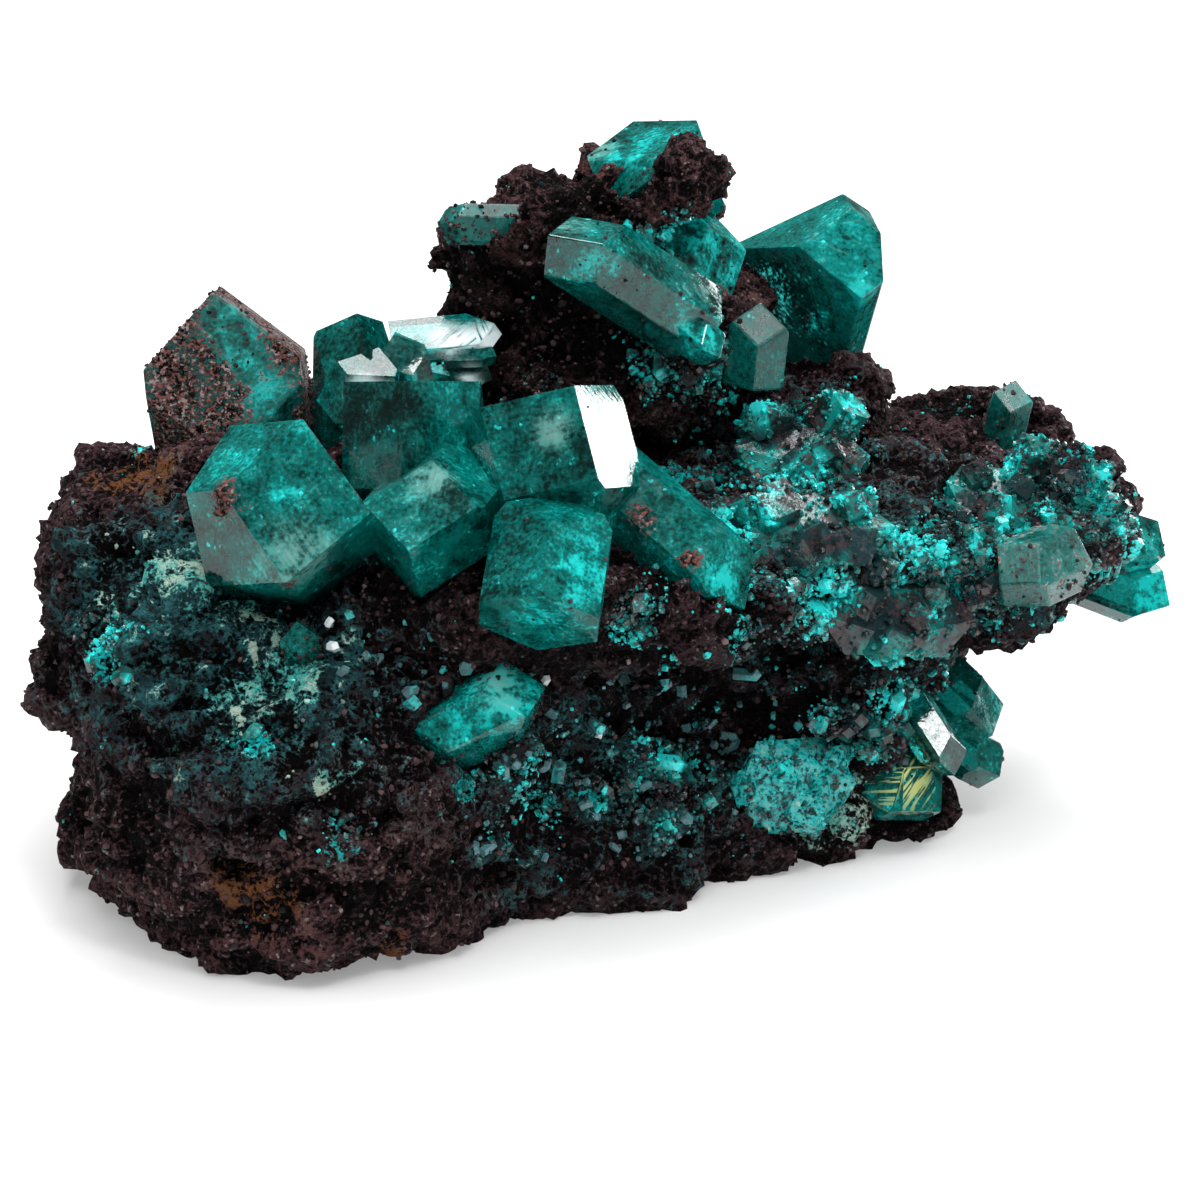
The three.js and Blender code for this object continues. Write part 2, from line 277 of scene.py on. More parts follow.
seeds = {
    "swell": 11, "block": 13, "knob": 23, "crumb": 41, "pit": 71, "edge": 91, "teal": 7,
    "druseTint": 19, "grainMint": 3, "dirt": 61, "dice": 5,
}
# coloured spots on the rock: x, y, z, radius in mm, strength
mintSpots = [
    (-20.7, -8.2, 16.0, 2.0, 0.7), (-18.7, -9.8, 15.4, 1.8, 0.8), (-16.1, -10.3, 14.9, 2.2, 1.0),
    (-21.9, -10.0, 14.2, 1.3, 0.9), (-15.1, -13.6, 12.1, 1.9, 0.9), (-13.6, -12.8, 12.6, 1.7, 0.8),
    (-15.8, -15.2, 11.6, 1.4, 0.8), (-13.1, -14.5, 11.9, 1.5, 0.6), (-11.8, -16.7, 9.2, 1.5, 0.7),
    (-20.6, 0.5, 17.8, 2.0, 0.9), (8.3, -5.7, 3.8, 2.2, 1.0), (10.2, -4.4, 3.9, 2.0, 1.0),
    (9.7, -4.5, 2.3, 1.8, 0.8), (-6.0, 15.0, 10.0, 2.5, 0.6),
]
tealSpots = [
    (-22.0, -10.9, 13.3, 1.3, 1.0), (-21.5, -12.0, 12.6, 1.2, 0.9), (-19.6, -12.0, 14.4, 1.1, 0.7),
    (-15.5, -16.0, 10.8, 1.0, 0.5), (-14.5, -16.1, 10.6, 1.0, 0.7), (-11.2, -17.2, 7.0, 1.1, 0.8),
    (-3.1, -10.2, 5.6, 1.1, 1.0), (-1.0, -9.7, 5.7, 1.0, 0.9), (-4.8, -12.2, 4.4, 1.1, 0.7),
    (1.9, -8.9, 3.7, 1.2, 0.8), (-6.5, -13.3, 7.6, 1.1, 0.8), (3.5, 0.0, 16.4, 2.0, 1.0),
    (2.1, 4.2, 26.7, 1.5, 0.8), (5.6, -4.5, 17.2, 1.8, 0.9), (7.7, -5.1, 16.5, 1.8, 0.9),
    (10.0, -4.5, 14.2, 1.6, 0.9), (11.8, -3.7, 14.4, 1.6, 0.9), (14.9, -3.1, 13.2, 2.4, 1.0),
    (16.5, -1.0, 16.3, 1.9, 1.0),
    (17.8, 1.0, 16.3, 1.6, 1.0), (21.1, 2.1, 16.6, 1.8, 0.7), (21.9, 0.8, 14.7, 1.6, 0.7),
    (1.1, -10.7, 14.6, 1.0, 1.0), (0.5, -10.3, 13.5, 0.9, 1.0), (5.7, -9.4, 12.7, 1.2, 0.7),
    (13.9, -5.1, 11.4, 1.6, 0.8), (11.0, -4.2, 6.0, 1.5, 0.9), (0.0, 16.0, 13.0, 3.4, 0.7),
    (-16.0, 13.0, 12.0, 2.6, 0.7), (14.0, 13.0, 13.0, 2.6, 0.6),
]
rustSpots = [
    (-21.5, -2.0, 17.7, 1.9, 1.0), (-20.2, -4.0, 17.7, 1.9, 0.9), (-16.1, -16.9, 4.8, 1.5, 0.9),
    (-14.6, -17.3, 3.8, 1.5, 1.0), (-13.1, -17.4, 4.8, 1.1, 0.6), (-9.4, -15.8, 1.4, 0.9, 1.3),
    (3.5, 5.0, 29.6, 1.9, 0.8), (-0.6, 6.0, 29.2, 1.3, 0.6), (-4.8, 4.0, 25.6, 1.3, 0.7),
    (3.9, 4.4, 26.6, 1.0, 0.7), (1.7, 2.0, 20.4, 2.0, 0.5), (12.3, 5.9, 17.3, 2.0, 0.4),
    (10.0, 14.0, 6.0, 3.0, 0.7), (-12.0, 15.0, 6.0, 3.0, 0.6),
]
dustSpots = [
    (-17.0, -11.0, 13.0, 6.5, 0.75), (-14.0, -14.5, 10.5, 4.5, 0.6), (-20.5, -9.0, 15.0, 4.0, 0.6),
    (-3.0, -11.0, 6.5, 5.0, 0.55), (4.0, -8.5, 5.0, 5.0, 0.5), (10.0, -5.0, 14.0, 6.0, 0.5),
    (17.0, -1.0, 14.5, 6.0, 0.45), (8.0, 3.0, 18.0, 5.0, 0.4), (0.0, 15.0, 11.0, 8.0, 0.45),
]
brownSpots = [
    (-14.0, -15.0, 6.0, 9.0, 0.8), (-20.0, -4.0, 18.0, 4.0, 0.8), (2.0, 6.0, 28.0, 6.0, 0.9),
    (4.0, 4.0, 20.6, 6.0, 0.7), (12.0, -2.0, 14.0, 6.0, 0.4), (-4.0, 4.0, 25.0, 4.0, 0.7),
    (0.0, 14.0, 8.0, 12.0, 0.5),
]
# painted shade: rock darkened on the pinnacle's underside, in the hollow under the front crystals and on the wall
# under the ledge
paintedShadeSpots = [
    (-3.5, 2.6, 24.2, 4.6, 1.0), (-6.0, 4.2, 23.4, 3.0, 0.9), (1.0, 2.0, 22.4, 4.4, 0.8),
    (-8.0, -11.0, 12.0, 4.5, 0.9), (0.0, -8.0, 9.6, 5.0, 0.8), (6.0, -5.0, 8.4, 5.0, 0.8),
    (11.0, -3.6, 8.6, 3.6, 0.8), (-3.0, -10.5, 4.6, 5.0, 0.5), (12.0, -5.6, 12.0, 3.0, 0.6),
    (4.0, 2.4, 20.0, 3.0, 0.4),
]


def edged(spot, broken):
    # a mark broken by noise where there is some of it
    return np.clip(spot + 0.6 * broken * smoothStep(spot, 0.0, 0.25), 0, 1)


def mergedCopy(node):
    shape = bmesh.new()
    shape.from_mesh(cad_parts[node].data)
    bmesh.ops.remove_doubles(shape, verts=shape.verts, dist=2e-6)
    return shape


def settled(name, mesh, modifiers):
    # the mesh after a list of (kind, settings) modifiers
    holder = bpy.data.objects.new(name, mesh)
    scene.collection.objects.link(holder)
    for kind, settings in modifiers:
        made = holder.modifiers.new(kind, kind)
        for key, value in settings.items():
            setattr(made, key, value)
    done = bpy.data.meshes.new_from_object(holder.evaluated_get(bpy.context.evaluated_depsgraph_get()))
    bpy.data.objects.remove(holder)
    return done


shape = mergedCopy("matrix")
rough = bpy.data.meshes.new("rough")
shape.to_mesh(rough)
shape.free()
fine = settled("rough", rough, [
    ("REMESH", {"mode": "VOXEL", "voxel_size": rock["voxel"] * mm}),
    ("SMOOTH", {"factor": 0.5, "iterations": rock["relax"]}),
])
rockPoints = pointsOf(fine)
rockOut = normalsOf(fine)
strata = rockPoints * rock["strata"]
lump = layers(strata, rock["swellWave"], seeds["swell"])
blockMark = knobs(strata + rock["blockBend"] * lump[:, None], rock["blockWave"], seeds["block"])[1]
knobAway, knobMark = knobs(rockPoints + rock["knobBend"] * lump[:, None], rock["knobWave"], seeds["knob"])
crumbAway, crumbMark = knobs(rockPoints, rock["crumbWave"], seeds["crumb"])
# height: an even lift, broad swells, flat blocks a step apart, round knobs of each cell, crumbs, less odd pits
height = rock["lift"] + rock["swell"] * lump
height += rock["block"] * (blockMark - rock["blockMiddle"])
height += rock["knob"] * (rock["knobRadius"] - knobAway) * (0.4 + knobMark)
height += rock["crumb"] * (rock["crumbRadius"] - crumbAway) * (0.3 + 1.2 * crumbMark)
height -= rock["pit"] * smoothStep(layers(rockPoints, rock["pitWave"], seeds["pit"], 2), *rock["pitRange"])
# relief: how far a point stands above the broad swells; the shader darkens low relief as painted shade in the hollows
relief = smoothStep(height - rock["lift"] - 0.5 * rock["swell"] * lump, *rock["reliefRange"])
rockPoints = rockPoints + rockOut * height[:, None]
rockPoints[:, 2] = np.maximum(rockPoints[:, 2], 0.0)
# marks: spots with edges broken by noise
broken = 0.5 * layers(rockPoints, rock["edgeWave"], seeds["edge"], 3)
mintMark = smoothStep(patches(rockPoints, mintSpots) + 1.2 * broken, 0.34, 0.85)
tealSpeck = 0.3 * swell(rockPoints, rock["patchWave"], seeds["teal"])
tealMark = smoothStep(patches(rockPoints, tealSpots) + broken - tealSpeck, 0.3, 0.85)
rustMark = smoothStep(patches(rockPoints, rustSpots) + broken, 0.3, 0.9)
brownMark = np.clip(patches(rockPoints, brownSpots) + 0.5 * broken + 0.15, 0, 1)
dustMark = edged(patches(rockPoints, dustSpots), broken)
# painted shade mark, from the spots above
paintedShadeMark = edged(patches(rockPoints, paintedShadeSpots), broken)
quads = np.empty(len(fine.loops), np.int32)
fine.loops.foreach_get("vertex_index", quads)
rockPiece = makePiece("rock", rockPoints, quads.reshape(-1, 4), True, {
    "mint": mintMark, "teal": tealMark, "rust": rustMark, "brown": brownMark, "dust": dustMark,
    "soot": paintedShadeMark, "relief": relief})
print("rock:", len(quads) // 2, "triangles")


def rockFinish():
    b = Board("rock")
    where = b.where()
    fog = b.noise(where, rock["fogWave"], 2, 0.6) - 0.5
    patch = b.noise(where, rock["patchWave"], 2, 0.6) - 0.5
    grit = b.noise(where, rock["gritWave"], 3, 0.7) - 0.5
    speck = b.cellMark(where, rock["cellWave"])
    broad, narrow = [b.sponge(where, wave) for wave in rock["spongeWaves"]]
    # crest: high on the walls between pits and on what stands out, so colours settle there first; through relief it
    # is low in the hollows, whose darkening is painted shade
    crest = broad * 0.4 + narrow * 0.3 + grit * 1.6 + 0.1 + (b.mark("relief") - 0.5) * 0.6
    base = b.mix(b.ramp(crest, 0.2, 1.0), rock["dark"], rock["mid"])
    base = b.mix(b.mark("brown") * b.ramp(crest + fog + patch * 0.6, 0.5, 1.2), base, rock["brown"])
    base = b.mix(b.ramp(speck, 0.9, 0.98) * b.ramp(crest, 0.6, 0.9), base, rock["light"])
    # painted shade: the rock made nearly black under the ledge, in the hollow and under the pinnacle
    base = b.mix(b.mark("soot") * b.ramp(fog + patch, -0.3, 0.05) * 0.85, base, rock["dark"])
    # each colour is held inside its own mark by a second ramp
    rust, teal, mint, dust = [b.mark(key) for key in ("rust", "teal", "mint", "dust")]
    rustShare = b.ramp(crest + rust * 0.7 + patch * 1.6, 0.95, 1.4) * b.ramp(rust, 0, 0.3)
    base = b.mix(rustShare * 0.8, base, rock["rust"])
    dustShare = b.ramp(crest + dust * 0.8 + fog * 0.6, 0.8, 1.3) * b.ramp(dust, 0, 0.3)
    base = b.mix(dustShare, base, b.mix(b.ramp(patch + grit * 0.6, -0.1, 0.16), rock["slate"], rock["dust"]))
    tealShare = b.ramp(crest + teal * 0.8 + patch * 0.8, 1.05, 1.45) * b.ramp(teal, 0, 0.3)
    base = b.mix(tealShare, base, rock["teal"])
    sprinkle = dust * b.ramp(patch + fog * 0.5, 0.08, 0.2) * 0.5
    mintShare = b.ramp(crest + mint * 0.75 + sprinkle + patch * 1.2, 1.15, 1.6) * b.ramp(mint + sprinkle, 0, 0.3)
    base = b.mix(mintShare, base, b.mix(b.ramp(fog + grit * 0.6, -0.04, 0.2), rock["mint"], rock["cream"]))
    return b.done(b.surface({
        "Base Color": base, "Roughness": 0.9 - b.ramp(speck, 0.93, 0.95) * 0.65,
        "Specular IOR Level": 0.12, "Normal": b.bump(grit * 2, rock["bump"])}))


wear(rockPiece, rockFinish())
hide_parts("matrix")

# crystals: CAD solids with their edges worn by a small bevel
gem = {
    "bevel": 0.11, "bevelSteps": 2, "bevelRound": 0.6, "flatDegrees": 0.6, "sharpRadians": 0.2,
    "fogWave": 4.0, "veilWave": 0.9, "gritWave": 0.18, "fleckWave": 0.15, "stripes": (0.35, 5.0, 1.0), "bump": 0.008,
    "deep": (0.001, 0.05, 0.043), "mid": (0.002, 0.19, 0.168), "bright": (0.006, 0.5, 0.47),
    "glint": (0.03, 0.9, 0.88), "pale": (0.22, 0.4, 0.36), "gold": (0.6, 0.62, 0.2),
    "white": (0.8, 0.9, 0.93), "clear": (0.6, 0.96, 0.93),
    "ior": 1.62, "mirror": 0.3, "gloss": 0.05, "absorb": (0.02, 0.8, 0.785), "density": 1300, "crustBump": 0.15,
}


def faceKey(face):
    # a number that tells faces apart, from the three lowest corners
    a, b, c = sorted(corner.index for corner in face.verts)[:3]
    return (a * 4096 + b) * 4096 + c


def wornCrystal(node):
    shape = mergedCopy(node)
    bmesh.ops.dissolve_limit(
        shape, angle_limit=math.radians(gem["flatDegrees"]), verts=shape.verts, edges=shape.edges)
    edges = [e for e in shape.edges if e.is_convex and e.calc_face_angle(0) > gem["sharpRadians"]]
    made = bmesh.ops.bevel(
        shape, geom=edges, offset=gem["bevel"] * mm, segments=gem["bevelSteps"], profile=gem["bevelRound"],
        affect="EDGES", clamp_overlap=True)
    worn = set(made["faces"])
    bmesh.ops.triangulate(shape, faces=[f for f in shape.faces if len(f.verts) > 4])
    mesh = bpy.data.meshes.new(node + "_worn")
    # rim marks the worn edges; stripe lays each face out along its longest edge, for the striations
    rim = shape.faces.layers.float.new("rim")
    stripe = shape.loops.layers.uv.new("stripe")
    for face in shape.faces:
        face[rim] = 1.0 if face in worn else 0.0
        longest = max(face.edges, key=lambda e: e.calc_length())
        along = (longest.verts[1].co - longest.verts[0].co).normalized()
        across = face.normal.cross(along)
        for loop in face.loops:
            loop[stripe].uv = (loop.vert.co.dot(along) / mm, loop.vert.co.dot(across) / mm)
    # the bevel lists faces in another order each run, so they are sorted to let the dirt fall the same way
    shape.verts.index_update()
    shape.faces.sort(key=faceKey)
    shape.to_mesh(mesh)
    shape.free()
    piece = bpy.data.objects.new(node + "_worn", mesh)
    scene.collection.objects.link(piece)
    return piece


def gemFinish(name, cloud=0.4, stain=0.0, pale=0.1, tone=0.0, dusty=0.0, matt=0.0,
              bare=(), stains=(), pales=(), golds=(), paintedReflections=(), lights=(), paintedShades=()):
    # see-through crystal blended with a milky one, and a brown crust over both; spots are x, y, z, radius in mm; the
    # light and dark spots are painted light and painted shade, the white spots painted reflections
    b = Board(name)
    where = b.where()
    fog = b.noise(where, gem["fogWave"], 1, 0.5)
    veil = b.noise(where, gem["veilWave"], 3, 0.65)
    grit = b.noise(where, gem["gritWave"], 1, 0.6)
    fleck = b.cellMark(where, gem["fleckWave"])
    lines = b.node("ShaderNodeTexNoise", {}, {
        "Vector": b.node("ShaderNodeUVMap", {"uv_map": "stripe"}) * gem["stripes"], "Scale": 1.0, "Detail": 2.0})
    glow = fog * 0.5 + veil * 0.5 + (grit - 0.5) * 0.45
    # painted light and painted shade: crystal faces made brighter or darker where the lamps light them more or less
    if lights:
        glow = glow + b.spots(where, lights) * b.ramp(veil, 0.25, 0.65) * 0.22
    if paintedShades:
        glow = glow - b.spots(where, paintedShades) * 0.13
    body = b.mix(b.ramp(glow, 0.32, 0.56), gem["deep"], gem["mid"])
    body = b.mix(b.ramp(glow, 0.54, 0.8), body, gem["bright"])
    # painted glints: bright cyan flecks standing for flashes of light inside the crystal
    body = b.mix(b.ramp(fleck, 0.965, 0.98) * b.ramp(veil, 0.52, 0.62), body, gem["glint"])
    body = b.mix(tone, body, gem["deep"])
    body = b.mix(b.ramp(lines, 0.56, 0.74) * pale, body, gem["pale"])
    # pale rim on the worn edges: partly a pale crust along them, partly a painted highlight
    rim = b.mark("rim") * b.ramp(veil + (grit - 0.5), 0.42, 0.66)
    body = b.mix(rim * 0.7, body, gem["pale"])
    milkShare = (glow - 0.5) * 1.6 + (0.1 + cloud * 0.9 + tone * 0.4) + rim * 0.4
    if pales:
        milky = b.spots(where, pales) * b.ramp(veil + lines * 0.4, 0.45, 0.9)
        body = b.mix(milky * 0.7, body, gem["pale"])
        milkShare = milkShare + milky
    if golds:
        straw = b.spots(where, golds) * b.ramp(lines, 0.5, 0.58)
        body = b.mix(straw, body, gem["gold"])
        milkShare = milkShare + straw
    # painted reflection: faces of the back-left crystals coloured white along their striations where they mirror the
    # softbox
    if paintedReflections:
        paintedReflection = b.spots(where, paintedReflections) * b.ramp(lines, 0.3, 0.5)
        body = b.mix(paintedReflection, body, gem["white"])
        milkShare = milkShare + paintedReflection
    normal = b.bump(lines * 0.5 + grit * 0.5, gem["bump"])
    gloss = gem["gloss"] + matt + b.ramp(veil, 0.4, 0.75) * 0.2
    clear = b.surface({
        "Base Color": gem["clear"], "Roughness": gloss, "Transmission Weight": 1.0, "IOR": gem["ior"],
        "Specular IOR Level": gem["mirror"], "Normal": normal})
    milk = b.surface({
        "Base Color": body, "Roughness": gloss, "IOR": gem["ior"],
        "Specular IOR Level": gem["mirror"], "Normal": normal})
    crumbs = b.mix(b.ramp(grit, 0.4, 0.66), rock["dark"], rock["brown"])
    crumbs = b.mix(b.ramp(fleck, 0.85 - 0.5 * dusty, 1.0) * b.ramp(grit, 0.42, 0.58), crumbs, rock["light"])
    crust = b.surface({
        "Base Color": crumbs, "Roughness": 0.9, "Specular IOR Level": 0.15,
        "Normal": b.bump(grit, gem["crustBump"])})
    stainShare = fog * 0.3 + veil * 0.8 + (grit - 0.5) * 0.6
    if stains:
        stainShare = stainShare + b.spots(where, stains) * 0.4
    if bare:
        stainShare = stainShare - b.spots(where, bare) * (0.1 + veil * 0.35)
    stainShare = b.ramp(stainShare, 0.84 - 0.42 * stain, 0.9 - 0.36 * stain)
    return b.done(b.blend(stainShare, b.blend(milkShare, clear, milk), crust), b.node(
        "ShaderNodeVolumeAbsorption", {}, {"Color": gem["absorb"], "Density": gem["density"]}))


# each coat's white spots are painted reflections, and its light and dark spots are painted light and painted shade
coats = {
    "clean": gemFinish("dioptaseClean", 0.45),
    "back": gemFinish("dioptaseBack", 0.45, paintedReflections=[
        (-7.2, 2.4, 22.6, 1.6), (-5.6, 2.6, 22.6, 1.6), (-4.6, 2.6, 22.7, 1.4), (-6.2, 1.0, 21.4, 1.0),
        (-10.9, -1.2, 21.4, 1.2), (-10.0, -1.5, 21.0, 1.2)]),
    "ridge": gemFinish("dioptaseRidge", 0.5, 0.15, 0.2, tone=0.3, matt=0.2),
    "dark": gemFinish(
        "dioptaseDark", 0.85, tone=0.3, paintedShades=[(8.6, 7.8, 23.8, 4.5)],
        lights=[(10.8, 8.1, 26.1, 3.0), (11.2, 5.5, 23.6, 2.4)]),
    "front": gemFinish(
        "dioptaseFront", 0.5, 0.05,
        stains=[(-16.3, -11.6, 19.8, 1.9), (1.2, -8.5, 17.9, 1.6), (3.3, -9.7, 16.5, 1.0), (-13.6, -13.1, 16.6, 1.0)],
        pales=[(-2.5, -9.3, 22.2, 1.4), (-13.1, -13.1, 17.7, 2.6), (-7.7, -10.5, 20.3, 1.6)],
        lights=[(-1.0, -13.8, 17.4, 2.6), (-3.4, -14.6, 15.6, 2.2),
                (4.6, -9.7, 15.1, 2.2), (-13.9, -11.8, 20.2, 1.2)],
        paintedShades=[(-9.0, -8.5, 21.9, 3.4), (-11.3, -6.0, 21.6, 2.8)]),
    "cloudy": gemFinish(
        "dioptaseCloudy", 0.55, 0.1, 0.2, pales=[(-4.8, -13.0, 11.9, 1.6)],
        lights=[(-6.0, -13.2, 11.5, 3.4), (-4.4, -12.9, 11.8, 2.4), (24.3, 2.3, 10.8, 3.0)]),
    "top": gemFinish(
        "dioptaseTop", 0.5, 0.1, stains=[(3.6, 5.0, 29.0, 2.0), (5.0, 4.6, 24.0, 1.2)],
        pales=[(-0.6, 7.0, 30.3, 1.3)],
        lights=[(0.6, 6.2, 30.4, 3.0), (3.0, 5.1, 26.9, 2.8), (4.6, 5.2, 25.4, 2.6)]),
    "pinnacle": gemFinish(
        "dioptasePinnacle", 0.45, 0.14, 0.25, pales=[(-2.0, 0.4, 28.5, 1.5)],
        lights=[(4.0, -0.6, 24.0, 2.0), (-0.6, -1.6, 27.2, 2.0)]),
    "low": gemFinish("dioptaseLow", 0.5, 0.05, 0.2, golds=[(13.0, -3.8, 4.0, 2.4)]),
    "grey": gemFinish("dioptaseGrey", 0.4, 0.45, 0.5, dusty=0.8, matt=0.2),
    "stained": gemFinish("dioptaseStained", 0.45, 0.3, 0.3, dusty=0.3, matt=0.3),
    "coated": gemFinish(
        "dioptaseCoated", 0.7, 1.05, 0.3, dusty=0.65, matt=0.3,
        bare=[(-17.0, 1.4, 23.9, 2.0), (-16.3, 0.9, 22.4, 1.6), (-15.0, 0.2, 20.6, 2.2)],
        lights=[(-16.8, 1.4, 23.0, 3.0), (-15.6, 0.2, 20.6, 2.6)]),
}
gemCoat = {
    "crystal_coated_left": "coated", "cluster_back_left": "back", "cluster_front": "front",
    "crystal_lying": "cloudy", "crystal_pinnacle_left": "stained", "cluster_pinnacle": "pinnacle",
    "cluster_pinnacle_top": "top", "crystal_back_right": "dark", "crystal_back_right_small": "ridge",
    "crystal_ridge": "ridge", "cluster_ledge_end": "cloudy", "crystal_ledge_grey": "grey",
    "cluster_low_front": "low", "cluster_low_end": "cloudy", "cluster_rear": "cloudy", "crystal_left_wall": "clean",
}
gemPieces = {}
for node, coat in gemCoat.items():
    gemPieces[node] = wornCrystal(node)
    wear(gemPieces[node], coats[coat])
    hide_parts(node)
print("crystals:", len(gemCoat))

# druse: small hexagonal prisms, each a six-sided profile carried from base to a three-faced tip
druse = {
    "fine": 9000, "fineWidth": (0.1, 0.32), "fineSunk": 0.45, "coarse": 520, "coarseWidth": (0.34, 0.85),
    "coarseSunk": 0.55, "sugar": 9000, "sugarWidth": (0.07, 0.2), "sugarSunk": 0.4,
    "flakes": 220, "flakeWidth": (0.2, 0.7), "flakeSunk": 0.65, "flakeTint": 0.9,
    "lean": 0.45, "rise": (0, 0, 0.15), "slender": 2.2, "lowest": 0.05, "clearOfFloor": 0.9, "stray": 0.004,
    "tipDrops": (0.617, 0.309), "tintWave": 1.3, "fogWave": 1.4, "patchWave": 2.4, "gritWave": 0.22,
    "facetWave": 0.42, "tuftWave": 0.5, "bump": 0.1, "flake": (0.07, 0.13, 0.15), "bright": (0.02, 0.68, 0.66),
    "nodes": ("druse_ledge_top", "druse_ledge_front", "druse_ledge_gem", "druse_hollow", "druse_low_right"),
}
# where small crystals and flakes grow: x, y, z, radius in mm, strength
crystalSpots = [
    (6.4, -4.9, 16.2, 3.6, 0.9), (10.4, -5.6, 14.4, 4.2, 0.9), (15.4, -4.6, 13.2, 3.8, 0.9),
    (18.6, 0.0, 15.6, 3.6, 0.9), (22.6, 1.6, 13.8, 3.4, 0.8), (8.0, 2.0, 17.8, 3.4, 0.8),
    (2.0, -9.8, 13.8, 3.4, 0.6), (-4.0, -12.0, 7.0, 3.6, 0.6), (2.6, -9.0, 5.4, 4.4, 0.65),
    (6.0, -6.5, 7.5, 3.0, 0.6), (11.0, -4.0, 6.5, 2.4, 0.7), (14.0, -1.0, 5.0, 4.0, 0.7),
    (-8.0, -13.0, 12.6, 2.8, 0.4), (-12.4, -13.4, 12.8, 2.0, 0.4), (-3.0, 1.8, 21.0, 3.0, 0.5),
    (3.4, 1.6, 22.0, 3.4, 0.8),
    (2.0, 3.0, 27.0, 3.4, 0.5), (12.0, 5.0, 17.6, 3.6, 0.5), (17.4, 9.6, 16.4, 3.4, 0.4),
    (-14.0, 4.0, 18.6, 2.6, 0.3), (-20.8, -9.6, 12.8, 2.2, 0.3), (0.0, 16.0, 13.0, 7.0, 0.4),
]
flakeSpots = [
    (-4.0, -12.0, 7.0, 4.0, 1.0), (0.0, -9.0, 6.4, 4.0, 1.0), (3.4, -7.0, 6.4, 4.0, 1.0),
    (7.4, -4.6, 7.0, 3.6, 0.9), (-7.4, -12.0, 12.0, 3.2, 0.8), (-11.0, -12.6, 12.6, 2.0, 0.7),
    (3.0, 0.6, 21.0, 3.0, 0.5), (9.0, 15.0, 12.0, 5.0, 0.6), (7.0, -5.0, 16.4, 3.0, 0.6),
    (10.4, -5.2, 14.6, 3.4, 0.6), (19.0, -1.6, 14.0, 3.0, 0.6),
]


def prismTemplate():
    # base ring, rim ring whose corners drop below the tip by turns, tip; width 1, tip at 0, base at -1
    turn = np.arange(6) * math.pi / 3
    ring = np.stack([np.cos(turn), np.sin(turn)], 1) * 0.5
    drop = np.where(np.arange(6) % 2 == 0, *druse["tipDrops"])
    base = np.column_stack([ring, np.zeros(6), -np.ones(6)])
    rim = np.column_stack([ring, -drop, np.zeros(6)])
    points = np.vstack([base, rim, np.zeros((1, 4))])
    ids = np.arange(6)
    sides = np.stack([ids, (ids + 1) % 6, (ids + 1) % 6 + 6, ids + 6], 1)
    caps = np.array([[12, 11, 6, 7], [12, 7, 8, 9], [12, 9, 10, 11]])
    foot = np.array([[3, 2, 1, 0], [5, 4, 3, 0]])
    return points, np.vstack([sides, caps, foot])


def scatterOn(points, triangles, weight, count, dice):
    # random places on triangles, the chance in step with area times weight
    corner = points[triangles]
    cross = np.cross(corner[:, 1] - corner[:, 0], corner[:, 2] - corner[:, 0])
    area = np.linalg.norm(cross, axis=1)
    chance = np.cumsum(area * weight[triangles].mean(1))
    pick = np.searchsorted(chance, dice.random(count) * chance[-1])
    a, c = dice.random((2, count, 1))
    flip = a + c > 1
    a, c = np.where(flip, 1 - a, a), np.where(flip, 1 - c, c)
    chosen = corner[pick]
    place = chosen[:, 0] + a * (chosen[:, 1] - chosen[:, 0]) + c * (chosen[:, 2] - chosen[:, 0])
    return place, unit(cross[pick])


def copies(template, faces, place):
    # faces of a template repeated once for each place
    index = faces[None] + (np.arange(len(place)) * len(template))[:, None, None]
    return index.reshape(-1, faces.shape[1])


def prisms(place, axis, width, length, sunk, dice):
    # template across by width, turned to its axis, tip raised over the place by the part not sunk
    points, faces = prismTemplate()
    other = unit(np.cross(axis, unit(dice.normal(size=axis.shape))))
    turn = np.stack([other, np.cross(axis, other), axis], 1)
    local = points[None, :, :3] * width[:, None, None]
    local[:, :, 2] += points[None, :, 3] * length[:, None]
    turned = local @ turn + (place + axis * (length * (1 - sunk))[:, None])[:, None, :]
    return turned.reshape(-1, 3), copies(points, faces, place)


def growDruse(name, place, out, pair, sunk, dice, grey=0.0):
    count = len(place)
    axis = unit(out + druse["lean"] * dice.normal(size=out.shape) + druse["rise"])
    width = between(pair, dice.random(count) ** druse["slender"])
    length = width * (1.0 + 1.2 * dice.random(count))
    points, faces = prisms(place, axis, width, length, sunk, dice)
    points[:, 2] = np.maximum(points[:, 2], druse["lowest"])
    tint = 0.55 * dice.random(count) + 0.45 * (0.5 + 0.5 * swell(place, druse["tintWave"], seeds["druseTint"]))
    return makePiece(name, points, faces, False, {"tint": np.repeat(tint + grey, len(points) // count)})


dice = np.random.default_rng(seeds["dice"])
rockTris = trianglesOf(rockPiece.data)
crystalWeight = smoothStep(patches(rockPoints, crystalSpots) + 0.9 * broken, 0.4, 0.9) + 0.8 * tealMark
crystalWeight = (crystalWeight + druse["stray"]) * (rockPoints[:, 2] > druse["clearOfFloor"])
onRock, rockUp = scatterOn(rockPoints, rockTris, crystalWeight, druse["fine"] * 3 // 4, dice)
nodePoints = [pointsOf(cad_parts[node].data) for node in druse["nodes"]]
nodeTris = [trianglesOf(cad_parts[node].data) for node in druse["nodes"]]
starts = np.cumsum([0] + [len(p) for p in nodePoints[:-1]])
nodeTris = np.vstack([t + s for t, s in zip(nodeTris, starts)])
nodePoints = np.vstack(nodePoints)
onNode, nodeUp = scatterOn(nodePoints, nodeTris, np.ones(len(nodePoints)), druse["fine"] // 4, dice)
